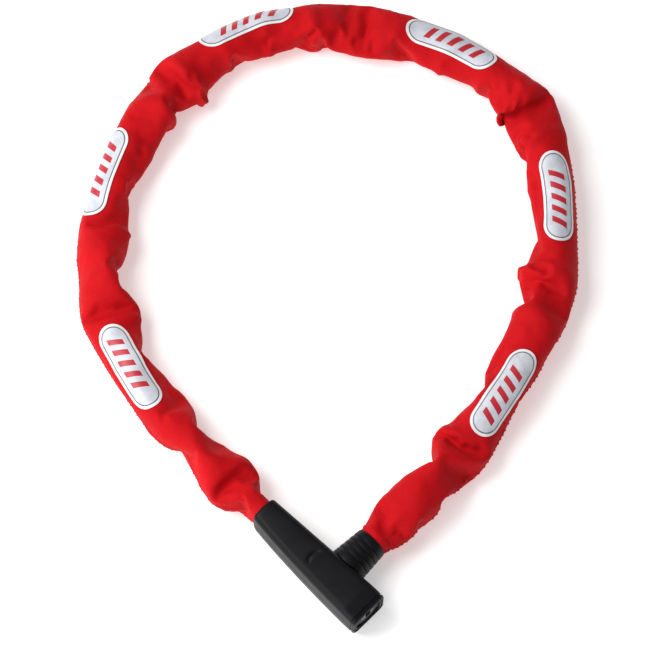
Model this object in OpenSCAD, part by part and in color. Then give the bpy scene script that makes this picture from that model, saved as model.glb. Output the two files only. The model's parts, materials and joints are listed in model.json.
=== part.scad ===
// Chain lock: a loop of square-section steel links in a textile sleeve, closed by a lock body.
// The bolt on the free end of the loop slides into the body's side, and a sliding plate that the
// disc cylinder's eccentric pin drives drops into the bolt's groove and holds it.
// The loop lies in the XY plane with +Z up. The origin is where the long axis of the body crosses
// the axis of the bolt. Inside in_body() +X runs to the key end and +Y runs out along the bolt.

/* [Chain] */
// Thickness of the square wire
wire = 5; // [4.6:0.1:5.2]
// Chamfer on the corners of the wire
wire_chamfer = 0.7; // [0.5:0.1:1]
// Inside radius of the bow at each end of a link
bow_inside_r = 3.75; // [3.7:0.05:3.85]
// Distance from one link's centre to the next one's
pitch = 25; // [24.6:0.1:25.4]
// How the loop lies: runs of equal bends from link to link, as [number of bends, degrees each]
lay = [[3, 2], [9, 10.5], [2, 17], [3, 8], [3, 17], [4, 9.5], [5, 4.5]]; // each run 1 to 10 bends of 2 to 18
// Slack between the two links at the top of the loop
top_slack = 1; // [0.8:0.1:1.2]

/* [Sleeve] */
// Outside radius of the textile sleeve
sleeve_r = 12.4; // [12:0.1:13]
// Thickness of the textile
sleeve_wall = 1.2; // [0.8:0.1:1.6]
// Length of a reflective patch
patch_length = 50; // [40:1:52]
// Width of a reflective patch
patch_width = 17; // [14:1:18]
// First patch's place along the chain, counted in links from the tail
first_patch = 5.5; // [5.2:0.1:5.8]
// Distance between patches, counted in links
patch_every = 4.1; // [4:0.05:4.2]
// The side each patch faces, from the tail on: 0 is up and 90 is outward from the loop
patch_tilts = [5, 50, 55, 5, 0, 5]; // each 0 to 60

/* [Lock body] */
// Heading of the body's long axis, from the tail to the key end
body_heading = -48; // [-60:1:-30]
// Half of the body's thickness
body_half_h = 11.5; // [11.4:0.1:12]
// Half of the body's width at the key end
head_half_w = 10.8; // [10.8:0.1:11.4]
// Half of the body's width at the tail
tail_half_w = 7.2; // [7.2:0.1:7.6]
// Distance from the bolt's axis to the key end
key_end_x = 25; // [25:0.2:26]
// Drawing-in of the body's outline at its top and bottom faces
edge_round = 2.6; // [2:0.1:3]
// Thickness of the moulded casing
casing_wall = 1.5; // [1.4:0.1:1.6]

/* [Bolt] */
// Radius of the bolt
bolt_r = 4.5; // [4.4:0.05:4.6]
// Depth of the bolt's tip past the long axis of the body
bolt_tip = 6.6; // [6.4:0.1:6.8]
// Radius of the bolt at its locking groove
groove_r = 3; // [2.8:0.1:3.1]
// Radius of the collar next to the body
collar_r = 10; // [9.8:0.1:10.4]
// Length of the collar
collar_length = 17.5; // [17:0.1:17.8]

/* [Cylinder] */
// Radius of the cylinder housing
housing_r = 7; // [6.9:0.1:7.1]
// Radius of the disc carrier
carrier_r = 5.6; // [5.5:0.05:5.6]
// Number of detainer discs
disc_count = 6; // [5:1:6]
// Offset of the cam's pin from the cylinder's axis
eccentric = 2; // [1.9:0.05:2.1]

/* [Hidden] */
$fn = 64;
eps = 0.05;
running_gap = 0.05;
fit_gap = 0.2;

// Chain, worked out along the links. Odd links stand upright and even links lie flat.
bends = [for (run = lay) for (i = [1:run[0]]) run[1]];
link_count = len(bends) + 1;
top_link = link_count / 2;
bow_r = bow_inside_r + wire / 2;
bow_x = (pitch - bow_r) / 2;
tip_x = bow_x + bow_r;
link_half_w = bow_r + wire / 2;

function direction(angle) = [cos(angle), sin(angle)];
function is_upright(i) = i % 2 == 1;
function heading(i) = i == 1 ? 180 : heading(i - 1) - bends[i - 2];
function entry_x(i) = i > 1 && is_upright(i) ? tip_x : bow_x;
function exit_x(i) = is_upright(i) ? tip_x : bow_x;
function step(i) = (entry_x(i) + exit_x(i) - (i == top_link ? top_slack : 0)) * direction(heading(i));
function run_to(i) = i == 1 ? [0, 0] : run_to(i - 1) + step(i - 1);

// The chain leaves the tail along the body's axis and comes back along the bolt's axis, so its own
// end-to-end run fixes where its two anchor pins stand.
chain_run = run_to(link_count + 1);
tail_pin_x = -chain_run.x;
bolt_pin_y = chain_run.y;
function link_centre(i) = [tail_pin_x, 0] + run_to(i) + entry_x(i) * direction(heading(i));

// Body outline
tail_end_x = tail_pin_x - 7.2;
mouth_depth = 3;
mouth_half = [5.2, 10.3];
tail_clamp_half = [5.1, 10.2];
core_gap = casing_wall + fit_gap;
bolt_side_x = key_end_x - tail_end_x;

// Steps along the body's long axis, from the bolt to the key end
slider_x = [-6.6, 4.9];
follower_x = [4.9, 6.3];
cam_x = [6.6, 8.6];
housing_x = [8.8, 20.8];
guard_x = [20.9, 22.1];
core_front_x = 22.3;
bezel_x = [22.5, 24.4];
nose_r = 4.3;
nose_end_x = 24;

// Disc stack and keyway
disc_r = 4.45;
disc_t = 1;
disc_pitch = 1.5;
first_disc_x = 10.4;
stack_end_x = 19.4;
washer_t = 0.4;
sidebar_slot_r = 3.9;
sidebar_half_w = 0.65;
keyway_r = 3.1;
keyway_y = [-1.1, 2.2];
drive_tongue_half_w = 1.5;
drive_tongue_z = 3.2;

// Clip that holds the cylinder housing in the core
clip_groove_x = [9.9, 11.1];
clip_x = [10, 11];
clip_r = 7.4;
clip_groove_r = 6.3;
clip_mouth = 2.4;

// Screws: the head, the shank and the two posts that they join
screw_head_r = 2.5;
screw_head_z = [-11, -9.3];
screw_r = 1.3;
screw_tip_z = 7.5;
socket_r = 1.2;
post_gap = 0.3;
top_post_r = 2.1;
bottom_post_r = 3.6;

// Slider and cam. The cam's pin swings half the turn below and half above the long axis.
key_turn = 90;
pin_r = 1;
slider_travel = 2 * eccentric * sin(key_turn / 2);
groove_y = -3;
groove_w = 3.2;
slider_t = 2.8;
slot_gap = 0.1;
slider_z = [-8.2, 5.9];
follower_y = [-5.2, 0.8];
cover_x = [-7.8, 7.2];
cover_y = [-6, 1.8];
cover_z = [8.9, 9.6];

// Anchors
anchor_pin_r = 3.2;
fork_gap = wire / 2 + 0.4;
fork_top = fork_gap + 2.6;
fork_half_w = 4.2;
collar_y = 10.4;
collar_end_y = collar_y + collar_length;
screw_x = [-27, -14];
clamp_wall = 0.8;
collar_clamp_r = 7.9;
collar_clamp_y = [collar_end_y + 0.1, collar_end_y + 2.1];

// Sleeve and patches
sleeve_sides = 16;
patch_t = 0.5;
patch_gap = 0.5;

LINKS = [for (i = [1:link_count]) link_name(i)];

function link_name(i) = str("link_", i < 10 ? "0" : "", i);
function turned(p, angle) = [p.x * cos(angle) - p.y * sin(angle), p.x * sin(angle) + p.y * cos(angle)];

module in_body() rotate([0, 0, body_heading]) children();

// A round bar along the body's long axis
module bar_x(r, x) translate([x[0], 0, 0]) rotate([0, 90, 0]) cylinder(r = r, h = x[1] - x[0]);

// A round bar along the bolt's axis
module bar_y(r, y) translate([0, y[0], 0]) rotate([-90, 0, 0]) cylinder(r = r, h = y[1] - y[0]);

// A block given by its lowest and highest values on each axis
module block(x, y, z) translate([x[0], y[0], z[0]]) cube([x[1] - x[0], y[1] - y[0], z[1] - z[0]]);

// ---- Body form ----

// The bolt's side is nearly straight, and the other side swells out early from the tail.
function along(x) = min(1, max(0, (x - tail_end_x) / bolt_side_x));
function bolt_side_w(x) = tail_half_w + (head_half_w - tail_half_w) * along(x);
function far_side_w(x) = tail_half_w + (head_half_w - tail_half_w) * sin(90 * pow(along(x), 0.8));

module body_outline(inset, x) {
    stations = [for (k = [0:12]) x[0] + (x[1] - x[0]) * k / 12];
    polygon(concat(
        [for (s = stations) [s, bolt_side_w(s) - inset]],
        [for (k = [12:-1:0]) [stations[k], inset - far_side_w(stations[k])]]
    ));
}

module body_form(inset, x) {
    hull() {
        linear_extrude(2 * (body_half_h - edge_round), center = true) body_outline(inset, x);
        linear_extrude(2 * (body_half_h - inset), center = true) body_outline(max(inset, edge_round), x);
    }
}

// An upright slot with round ends, run along the long axis
module upright_slot(half, x) {
    straight = half.y - half.x;
    block(x, [-half.x, half.x], [-straight, straight]);
    for (side = [-1, 1])
        translate([0, 0, side * straight]) bar_x(half.x, x);
}

module casing() {
    difference() {
        body_form(0, [tail_end_x, key_end_x]);
        body_form(casing_wall, [tail_end_x + mouth_depth, key_end_x + 1]);
        bar_y(bolt_r + 0.6, [0, head_half_w + 1]);
        upright_slot(mouth_half, [tail_end_x - 1, tail_end_x + mouth_depth + 1]);
    }
}

module screw_stack(r, z) for (x = screw_x) translate([x, 0, z[0]]) cylinder(r = r, h = z[1] - z[0]);

module casing_top() color([0.07, 0.07, 0.08]) in_body() {
    difference() {
        union() {
            intersection() {
                casing();
                block([tail_end_x - 1, key_end_x + 1], [-20, 20], [eps, 20]);
            }
            screw_stack(top_post_r, [2, body_half_h - casing_wall + eps]);
        }
        screw_stack(screw_r + running_gap, [1, screw_tip_z + 0.5]);
    }
}

module casing_bottom() color([0.1, 0.1, 0.11]) in_body() {
    difference() {
        union() {
            intersection() {
                casing();
                block([tail_end_x - 1, key_end_x + 1], [-20, 20], [-20, -eps]);
            }
            screw_stack(bottom_post_r, [-body_half_h + casing_wall - eps, -7.7]);
        }
        screw_stack(screw_head_r + 0.2, [-body_half_h - 1, screw_head_z[1] + 0.1]);
        screw_stack(screw_r + post_gap, [-body_half_h, -7]);
    }
}

module casing_screws() color([0.6, 0.6, 0.62]) in_body() {
    difference() {
        union() {
            screw_stack(screw_head_r, screw_head_z);
            screw_stack(screw_r, [screw_head_z[1], screw_tip_z]);
        }
        for (x = screw_x)
            translate([x, 0, screw_head_z[0] - 1]) cylinder(r = socket_r, h = 2, $fn = 6);
    }
}

module end_bezel() color([0.05, 0.05, 0.06]) in_body() {
    difference() {
        body_form(casing_wall + 0.1, bezel_x);
        bar_x(nose_r + 0.25, [bezel_x[0] - 1, bezel_x[1] + 1]);
        translate([bezel_x[1], 0, 0]) rotate([0, 90, 0]) cylinder(r = 6.6, h = 2, center = true);
    }
    difference() {
        bar_x(6.5, [bezel_x[1] - 1, bezel_x[1] - 0.4]);
        bar_x(nose_r + 0.25, [bezel_x[0] - 1, bezel_x[1] + 1]);
    }
}

// ---- Steel core ----

module slider_space() {
    top_z = body_half_h;
    block([slider_x[0] - fit_gap, slider_x[1] + fit_gap],
          [groove_y - slider_t / 2 - 0.1, groove_y + slider_t / 2 + 0.1], [slider_z[0] - fit_gap, top_z]);
    block([follower_x[0] - fit_gap, cam_x[0] + eps],
          [follower_y[0] - fit_gap, follower_y[1] + fit_gap], [-5.3, top_z]);
}

module cover_plate(gap) {
    block(cover_x + [-gap, gap], cover_y + [-gap, gap], cover_z + [-gap, 10 * gap]);
}

module lock_core() color([0.55, 0.56, 0.58]) in_body() {
    difference() {
        body_form(core_gap, [tail_end_x + mouth_depth + 0.4, core_front_x]);
        bar_y(bolt_r + running_gap, [-bolt_tip - 0.4, head_half_w + 1]);
        bar_x(housing_r + running_gap, [cam_x[1], core_front_x + 1]);
        bar_x(carrier_r + 0.3, [cam_x[0] - 0.1, cam_x[1] + 1]);
        bar_x(clip_r + 0.1, clip_groove_x);
        slider_space();
        cover_plate(0.1);
        block([tail_end_x, tail_pin_x + link_half_w + 1.2], [-fork_gap, fork_gap], [-20, 20]);
        translate([tail_pin_x, 0, 0]) bar_y(anchor_pin_r + running_gap, [-20, 20]);
        screw_stack(top_post_r + post_gap, [1.7, 20]);
        screw_stack(screw_r + post_gap, [-20, 20]);
        screw_stack(bottom_post_r + post_gap, [-20, -7.4]);
    }
}

module core_cover() color([0.62, 0.63, 0.65]) in_body() cover_plate(0);

module tail_anchor_pin() color([0.7, 0.7, 0.72]) in_body()
    translate([tail_pin_x, 0, 0]) bar_y(anchor_pin_r, [-5, 5]);

module tail_sleeve_clamp() color([0.5, 0.5, 0.52]) in_body() difference() {
    upright_slot(tail_clamp_half, [tail_end_x - 1.5, tail_end_x + mouth_depth]);
    upright_slot(tail_clamp_half - [clamp_wall, clamp_wall], [tail_end_x - 2, tail_end_x + mouth_depth + 1]);
}

// ---- Cylinder ----

module cylinder_housing() color([0.75, 0.66, 0.42]) in_body() difference() {
    bar_x(housing_r, housing_x);
    bar_x(carrier_r + running_gap, [housing_x[0] - 1, housing_x[1] + 1]);
    difference() {
        bar_x(housing_r + 1, clip_groove_x);
        bar_x(clip_groove_r, clip_groove_x + [-0.1, 0.1]);
    }
    block([12, 20.2], [-0.9, 0.9], [0, 6.2]);
}

module cylinder_clip() color([0.45, 0.46, 0.48]) in_body() difference() {
    bar_x(clip_r, clip_x);
    bar_x(clip_groove_r + running_gap, clip_x + [-1, 1]);
    block(clip_x + [-1, 1], [-clip_mouth, clip_mouth], [-9, 0]);
}

module drill_guard() color([0.8, 0.8, 0.82]) in_body() difference() {
    bar_x(housing_r, guard_x);
    bar_x(nose_r + 0.1, [guard_x[0] - 1, guard_x[1] + 1]);
}

// The keyway is a half-round slot, the same through the nose, the discs and the washers.
module keyway(x) intersection() {
    bar_x(keyway_r, x);
    block(x, keyway_y, [-4, 4]);
}

// One of the two tongues that turn the cam with the carrier, or its slot when there is a gap
module drive_tongue(x, side, gap) {
    half_w = drive_tongue_half_w + gap;
    low = drive_tongue_z - 2 * gap;
    block(x, [-half_w, half_w], side > 0 ? [low, 6] : [-6, -low]);
}

module disc_carrier() color([0.16, 0.16, 0.17]) in_body() difference() {
    union() {
        bar_x(carrier_r, [9, 20.6]);
        bar_x(nose_r, [20.5, nose_end_x]);
    }
    bar_x(disc_r + running_gap, [8, 19.6]);
    keyway([19, nose_end_x + 1]);
    block([first_disc_x - 0.2, stack_end_x], [-6, 0], [-sidebar_half_w - 0.1, sidebar_half_w + 0.1]);
    for (side = [-1, 1])
        drive_tongue([8.5, 10], side, 0.1);
}

// A round plate of the disc stack, with the keyway and the notch that the sidebar drops into
module stack_plate(x, thickness) difference() {
    bar_x(disc_r, [x, x + thickness]);
    keyway([x - 1, x + thickness + 1]);
    block([x - 1, x + thickness + 1], [-5, -sidebar_slot_r], [-sidebar_half_w - 0.15, sidebar_half_w + 0.15]);
}

module detainer_discs() color([0.83, 0.72, 0.4]) in_body()
    for (i = [0:disc_count - 1]) stack_plate(first_disc_x + i * disc_pitch, disc_t);

module spacer_washers() color([0.78, 0.78, 0.8]) in_body()
    for (i = [0:disc_count - 2]) stack_plate(first_disc_x + i * disc_pitch + disc_t + 0.05, washer_t);

module sidebar() color([0.7, 0.7, 0.72]) in_body()
    block([first_disc_x, stack_end_x - 0.2], [-carrier_r + 0.1, -sidebar_slot_r - 0.05],
          [-sidebar_half_w, sidebar_half_w]);

module drive_cam() color([0.6, 0.6, 0.62]) in_body() {
    bar_x(carrier_r, cam_x);
    for (side = [-1, 1])
        intersection() {
            drive_tongue([cam_x[1] - eps, 9.9], side, 0);
            bar_x(carrier_r - 0.1, [cam_x[0], 10]);
        }
    translate([0, -eccentric * cos(key_turn / 2), -slider_travel / 2]) bar_x(pin_r, [5.1, cam_x[0] + eps]);
}

module locking_slider() color([0.66, 0.67, 0.7]) in_body() difference() {
    union() {
        block(slider_x, [groove_y - slider_t / 2, groove_y + slider_t / 2], slider_z);
        block([slider_x[1] - eps, follower_x[1]], follower_y, [-5, 5]);
    }
    bar_y(bolt_r + 0.3, [-10, groove_y + slider_t / 2 + 1]);
    translate([0, 0, -slider_travel]) bar_y(groove_r + 0.2, [-10, 0]);
    block([-groove_r - 0.2, groove_r + 0.2], [-10, 0], [-slider_travel, 0]);
    block([follower_x[0] - 1, follower_x[1] + 1],
          [-eccentric - pin_r - 0.2, -eccentric * cos(key_turn / 2) + pin_r + 0.2],
          [-slider_travel / 2 - pin_r - slot_gap, -slider_travel / 2 + pin_r + slot_gap]);
}

// ---- Bolt end ----

module end_bolt() color([0.7, 0.71, 0.73]) in_body() {
    difference() {
        union() {
            rotate([-90, 0, 0]) rotate_extrude() polygon([
                [0, -bolt_tip], [bolt_r - 1, -bolt_tip], [bolt_r, -bolt_tip + 1],
                [bolt_r, groove_y - groove_w / 2], [groove_r, groove_y - groove_w / 2],
                [groove_r, groove_y + groove_w / 2], [bolt_r, groove_y + groove_w / 2],
                [bolt_r, 12.6], [7, 12.6], [7, 16], [0, 16]
            ]);
            block([-fork_half_w, fork_half_w], [15, bolt_pin_y], [-fork_top, fork_top]);
            translate([0, bolt_pin_y, -fork_top]) cylinder(r = fork_half_w, h = 2 * fork_top);
        }
        block([-20, 20], [bolt_pin_y - link_half_w - 1, bolt_pin_y + 20], [-fork_gap, fork_gap]);
        translate([0, bolt_pin_y, -20]) cylinder(r = anchor_pin_r + running_gap, h = 40);
    }
}

module collar_anchor_pin() color([0.7, 0.7, 0.72]) in_body()
    translate([0, bolt_pin_y, -5.4]) cylinder(r = anchor_pin_r, h = 10.8);

// The collar narrows away from the body and carries shallow rings.
function outer_r(y) = collar_r - 1.5 * (y - collar_y) / collar_length;

module bolt_collar() color([0.07, 0.07, 0.08]) in_body() {
    groove = 0.35;
    rib = 3.2;
    ring_starts = [for (k = [0:3]) collar_y + 2.6 + k * rib];
    rotate([-90, 0, 0]) rotate_extrude() polygon(concat(
        [[bolt_r + 0.15, collar_y], [collar_r - 0.6, collar_y], [collar_r, collar_y + 0.6]],
        [for (y = ring_starts) each [[outer_r(y), y], [outer_r(y) - groove, y + 0.4], [outer_r(y), y + 0.8]]],
        [[outer_r(collar_end_y - 0.6), collar_end_y - 0.6], [outer_r(collar_end_y) - 0.6, collar_end_y],
         [7.2, collar_end_y], [7.2, 12.4], [bolt_r + 0.15, 12.4]]
    ));
}

module collar_sleeve_clamp() color([0.5, 0.5, 0.52]) in_body()
    difference() {
        bar_y(collar_clamp_r, collar_clamp_y);
        bar_y(collar_clamp_r - clamp_wall, collar_clamp_y + [-1, 1]);
    }

// ---- Chain ----

module wire_profile() {
    half = wire / 2;
    flat = half - wire_chamfer;
    polygon([for (quarter = [0:3], y = [-flat, flat]) turned([half, y], 90 * quarter)]);
}

module link_shape() {
    for (end = [-1, 1])
        translate([end * bow_x, 0, 0]) rotate([0, 0, -90 * end])
            rotate_extrude(angle = 180) translate([bow_r, 0]) wire_profile();
    for (side = [-1, 1])
        translate([0, side * bow_r, 0]) rotate([90, 0, 90])
            linear_extrude(2 * bow_x, center = true) wire_profile();
}

module chain_link(i) {
    place = link_centre(i);
    color([0.5, 0.51, 0.54]) in_body() translate([place.x, place.y, 0])
        rotate([is_upright(i) ? 90 : 0, 0, heading(i)]) link_shape();
}

// ---- Textile sleeve and its patches ----

// The sleeve's centre line: it leaves the tail, follows the links and ends over the bolt's fork.
tail_sleeve_end = [tail_end_x - 3, 0];
bolt_sleeve_end = [0, collar_end_y + 2.6];
sleeve_line = concat(
    [tail_sleeve_end],
    [for (i = [3:link_count - 2]) link_centre(i)],
    [bolt_sleeve_end]
);

// Headings halfway between the runs before and after each point of the line
function run_heading(k) = let(run = sleeve_line[k + 1] - sleeve_line[k]) atan2(run.y, run.x);
function turn_between(a, b) = (b - a + 540) % 360 - 180;
function line_heading(k) =
    k == 0 ? 180
    : k == len(sleeve_line) - 1 ? -90
    : run_heading(k - 1) + turn_between(run_heading(k - 1), run_heading(k)) / 2;

function sleeve_ring(r) = [
    for (k = [0:len(sleeve_line) - 1], j = [0:sleeve_sides - 1])
        let(round = 360 * (j + 0.5) / sleeve_sides, out = direction(line_heading(k) + 90))
        [sleeve_line[k].x + r * cos(round) * out.x, sleeve_line[k].y + r * cos(round) * out.y, r * sin(round)]
];

function at(k, j) = k * sleeve_sides + j % sleeve_sides;

module textile_sleeve() color([0.85, 0.06, 0.1]) in_body() {
    rings = len(sleeve_line);
    inner = rings * sleeve_sides;
    walls = [for (k = [0:rings - 2], j = [0:sleeve_sides - 1]) each [
        [at(k, j), at(k, j + 1), at(k + 1, j + 1), at(k + 1, j)],
        [inner + at(k, j), inner + at(k + 1, j), inner + at(k + 1, j + 1), inner + at(k, j + 1)]
    ]];
    rims = [for (j = [0:sleeve_sides - 1]) each [
        [at(0, j), inner + at(0, j), inner + at(0, j + 1), at(0, j + 1)],
        [at(rings - 1, j), at(rings - 1, j + 1), inner + at(rings - 1, j + 1), inner + at(rings - 1, j)]
    ]];
    polyhedron(concat(sleeve_ring(sleeve_r), sleeve_ring(sleeve_r - sleeve_wall)), concat(walls, rims));
}

// A patch is a thin plate with round ends that stands just off the sleeve's surface.
function part_way(t) = t - floor(t);
function place_at(t) = link_centre(floor(t)) * (1 - part_way(t)) + link_centre(floor(t) + 1) * part_way(t);
function heading_at(t) = heading(floor(t)) * (1 - part_way(t)) + heading(floor(t) + 1) * part_way(t);

module patch_plate() {
    straight = patch_length - patch_width;
    linear_extrude(patch_t) {
        square([straight, patch_width], center = true);
        for (end = [-1, 1])
            translate([end * straight / 2, 0]) circle(d = patch_width);
    }
}

module reflective_patches() color([0.93, 0.93, 0.92]) in_body()
    for (k = [0:len(patch_tilts) - 1]) {
        t = first_patch + k * patch_every;
        place = place_at(t);
        translate([place.x, place.y, 0]) rotate([-patch_tilts[k], 0, heading_at(t)])
            translate([0, 0, sleeve_r + patch_gap]) patch_plate();
    }

casing_top();
casing_bottom();
end_bezel();
lock_core();
core_cover();
casing_screws();
cylinder_housing();
cylinder_clip();
drill_guard();
disc_carrier();
detainer_discs();
spacer_washers();
sidebar();
drive_cam();
locking_slider();
tail_anchor_pin();
tail_sleeve_clamp();
end_bolt();
bolt_collar();
collar_anchor_pin();
collar_sleeve_clamp();
textile_sleeve();
reflective_patches();
for (i = [1:link_count])
    chain_link(i);
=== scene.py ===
"""Looks of the chain lock: a woven sleeve by cloth simulation, and a moulded lock body by mesh work."""

import json
import math

import bmesh
import bpy
import numpy as np
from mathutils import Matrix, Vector
from mathutils.bvhtree import BVHTree


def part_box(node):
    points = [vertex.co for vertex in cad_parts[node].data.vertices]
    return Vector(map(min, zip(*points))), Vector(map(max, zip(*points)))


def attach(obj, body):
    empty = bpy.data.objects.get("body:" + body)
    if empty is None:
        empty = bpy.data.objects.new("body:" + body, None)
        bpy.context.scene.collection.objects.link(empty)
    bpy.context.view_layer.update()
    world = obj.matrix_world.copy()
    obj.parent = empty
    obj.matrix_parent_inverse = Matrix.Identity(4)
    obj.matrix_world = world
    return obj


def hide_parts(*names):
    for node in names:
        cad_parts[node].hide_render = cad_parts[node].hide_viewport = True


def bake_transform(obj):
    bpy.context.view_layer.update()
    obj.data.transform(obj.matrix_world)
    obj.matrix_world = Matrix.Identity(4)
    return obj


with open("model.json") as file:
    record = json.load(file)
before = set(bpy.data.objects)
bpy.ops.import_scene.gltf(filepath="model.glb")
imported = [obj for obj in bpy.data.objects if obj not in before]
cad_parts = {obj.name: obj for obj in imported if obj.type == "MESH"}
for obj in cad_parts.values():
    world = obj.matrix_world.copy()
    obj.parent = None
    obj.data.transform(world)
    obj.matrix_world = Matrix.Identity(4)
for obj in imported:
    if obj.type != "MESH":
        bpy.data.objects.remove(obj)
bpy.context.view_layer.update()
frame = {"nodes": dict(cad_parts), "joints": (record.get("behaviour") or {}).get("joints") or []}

MM = 0.001
rng = np.random.default_rng(7)

# ---- Places read from the frame ----

JOINTS = {joint["name"]: joint for joint in frame["joints"]}
OUT = np.array(JOINTS["bolt_slide"]["axis"])  # the way the bolt leaves the body
ALONG = -np.array(JOINTS["key_turn"]["axis"])  # from the tail to the key end
UP = np.array([0.0, 0.0, 1.0])
LINK_COUNT = sum(1 for name in frame["nodes"] if name.startswith("link_"))


def place(x, y, z):
    """A point of the lock body's own axes, in the row frame."""
    return x * ALONG + y * OUT + z * UP


def reach(node, axis):
    """Lowest and highest value of a CAD node along an axis."""
    along = [np.dot(vertex.co, axis) for vertex in frame["nodes"][node].data.vertices]
    return min(along), max(along)


def link_name(i):
    """Name of link i's CAD node, which is also its body's name."""
    return f"link_{i:02d}"


def link_centre(i):
    """Middle of link i's box, in the row frame."""
    low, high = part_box(link_name(i))
    return np.array((low + high) / 2)


TAIL_X, KEY_X = reach("casing_top", ALONG)
HALF_H = reach("casing_top", UP)[1]
BOLT_SIDE_W = reach("casing_top", OUT)[1]
COLLAR_Y, COLLAR_END_Y = reach("bolt_collar", OUT)
COLLAR_R = reach("bolt_collar", UP)[1]
FLOOR_Z = -HALF_H - 0.1 * MM  # a hair under the lock body's flat side
LINK_HALF_W = reach("link_01", UP)[1]
WIRE_R = reach("link_02", UP)[1]
LINK_STRAIGHT = 9.4 * MM  # half the straight part of a link's wire
LINKS = {i: link_centre(i) for i in range(1, LINK_COUNT + 1)}


# ---- Materials ----


class Nodes:
    """A material's node tree with short helpers, so that each material reads as one recipe."""

    def __init__(self, name):
        self.material = bpy.data.materials.new(name)
        self.material.use_nodes = True
        self.tree = self.material.node_tree
        self.shader = self.tree.nodes["Principled BSDF"]

    def add(self, kind, **values):
        """A new node, with its inputs or settings given by name."""
        node = self.tree.nodes.new("ShaderNode" + kind)
        for key, value in values.items():
            if key in node.inputs:
                self.feed(node.inputs[key], value)
            else:
                setattr(node, key, value)
        return node

    def feed(self, socket, value):
        """Links a socket to another node's output, or sets it to a plain value."""
        if isinstance(value, bpy.types.NodeSocket):
            self.tree.links.new(value, socket)
        else:
            socket.default_value = value

    def set(self, **values):
        """Feeds the shader's inputs, with _ for a space in their names."""
        for key, value in values.items():
            self.feed(self.shader.inputs[key.replace("_", " ")], value)
        return self

    def math(self, operation, a, b=0.0, c=0.0):
        node = self.add("Math", operation=operation)
        for socket, value in zip(node.inputs, (a, b, c)):
            self.feed(socket, value)
        return node.outputs[0]

    def noise(self, scale, detail=3.0, where=None, roughness=0.5):
        node = self.add("TexNoise", Scale=scale, Detail=detail, Roughness=roughness)
        self.tree.links.new(where or self.place_of(), node.inputs["Vector"])
        return node.outputs["Fac"]

    def place_of(self):
        return self.add("TexCoord").outputs["Object"]

    def uv(self, name):
        return self.add("UVMap", uv_map=name).outputs["UV"]

    def ramp(self, fac, stops):
        """Colours between stops, each a place from 0 to 1 and a colour."""
        node = self.add("ValToRGB", Fac=fac)
        elements = node.color_ramp.elements
        while len(elements) < len(stops):
            elements.new(0.5)
        for element, (position, colour) in zip(elements, stops):
            element.position = position
            element.color = (*colour, 1.0)
        return node.outputs["Color"]

    def value_ramp(self, fac, low, high, out_low=0.0, out_high=1.0):
        """A value carried from one range to another, and held at its ends."""
        node = self.add("MapRange", Value=fac)
        for socket, value in zip(node.inputs[1:5], (low, high, out_low, out_high)):
            socket.default_value = value
        return node.outputs["Result"]

    def mix(self, fac, a, b):
        node = self.add("Mix", data_type="RGBA")
        self.feed(node.inputs[0], fac)
        self.feed(node.inputs[6], a)
        self.feed(node.inputs[7], b)
        return node.outputs[2]

    def bump(self, height, distance, strength=1.0):
        return self.add("Bump", Height=height, Distance=distance, Strength=strength).outputs["Normal"]


def rgb(red, green, blue):
    return (red, green, blue, 1.0)


THREAD_PITCH = 0.55 * MM
# The film's grey line and its slanted bars, in shares of the film's half width
LINE_AT, LINE_HALF_W = 0.8, 0.035
BAR_SLANT, BARS_EACH, BARS_REACH, BAR_HALF_H = 0.45, 1.35, 1.85, 0.46


def weave_height(m, uv):
    """Over-and-under height of a plain weave whose threads run along both directions of the UV map."""
    split = m.add("SeparateXYZ", Vector=uv)
    turn = math.pi / THREAD_PITCH
    warp = m.math("SINE", m.math("MULTIPLY", split.outputs["X"], turn))
    weft = m.math("SINE", m.math("MULTIPLY", split.outputs["Y"], turn))
    return m.math("ABSOLUTE", m.math("MULTIPLY", warp, weft))


def red_textile():
    m = Nodes("red_textile")
    uv = m.uv("weave")
    threads = weave_height(m, uv)
    patchy = m.noise(60.0, detail=4.0)
    slubs = m.noise(900.0, detail=2.0)
    tone = m.math("ADD", m.math("MULTIPLY", patchy, 0.6), m.math("MULTIPLY", slubs, 0.4))
    base = m.ramp(tone, [(0.3, (0.50, 0.002, 0.005)), (0.7, (0.72, 0.004, 0.009))])
    # Painted shade: the low places of the weave, between the threads, are coloured a darker red
    gap_shade_fac = m.value_ramp(threads, 0.0, 0.5)
    colour = m.mix(gap_shade_fac, rgb(0.40, 0.002, 0.006), base)
    height = m.math("ADD", threads, m.math("MULTIPLY", slubs, 0.6))
    m.set(Base_Color=colour, Roughness=0.72, Normal=m.bump(height, 0.12 * MM, 0.5))
    m.set(Sheen_Weight=0.1, Sheen_Roughness=0.45, Sheen_Tint=rgb(1.0, 0.15, 0.15), Specular_IOR_Level=0.12)
    return m.material


def red_thread():
    m = Nodes("red_thread")
    strands = m.noise(3000.0, detail=1.0)
    colour = m.ramp(strands, [(0.35, (0.33, 0.004, 0.008)), (0.65, (0.62, 0.012, 0.02))])
    m.set(Base_Color=colour, Roughness=0.6, Normal=m.bump(strands, 0.05 * MM, 0.5), Sheen_Weight=0.2)
    return m.material


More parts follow.
